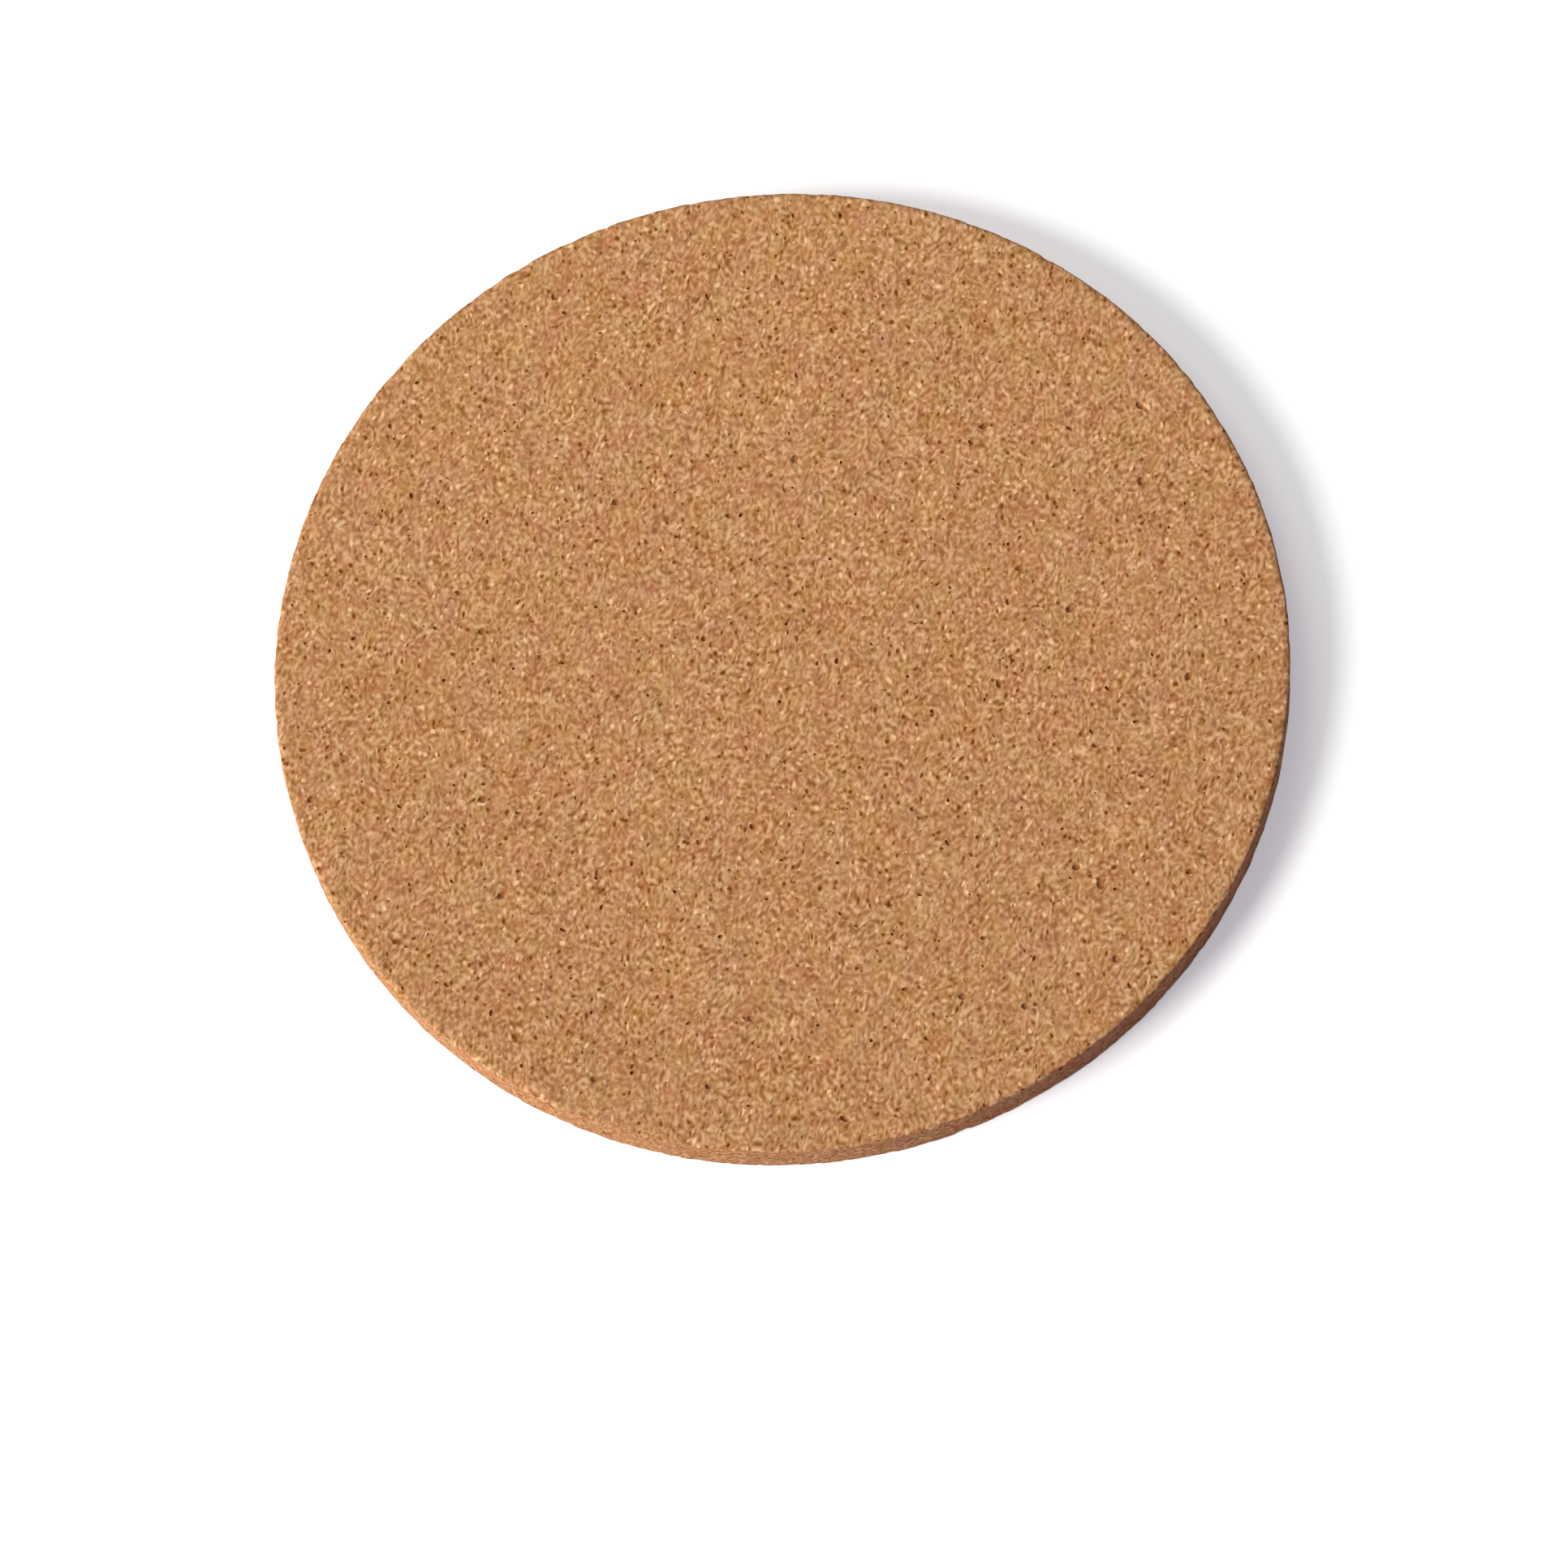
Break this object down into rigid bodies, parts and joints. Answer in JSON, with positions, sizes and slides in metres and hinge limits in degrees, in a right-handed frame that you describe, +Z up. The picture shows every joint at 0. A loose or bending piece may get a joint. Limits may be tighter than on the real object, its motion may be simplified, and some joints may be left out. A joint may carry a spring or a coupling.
{
  "type": "cork coaster",
  "caption": "Round flat coaster of pressed cork granules with sanded faces, open pores and a plain cut wall, for a glass or cup to stand on.",
  "frame": {"origin": "centre of the underside, on the surface that the coaster lies on", "axes": "+Z up along the axis of the disc, +X and +Y in the plane of the disc"},
  "size_m": [0.1, 0.1, 0.005],
  "materials": {
    "cork": "matte"
  },
  "bodies": {
    "root": {"cork_disc": "cork"}
  },
  "joints": []
}
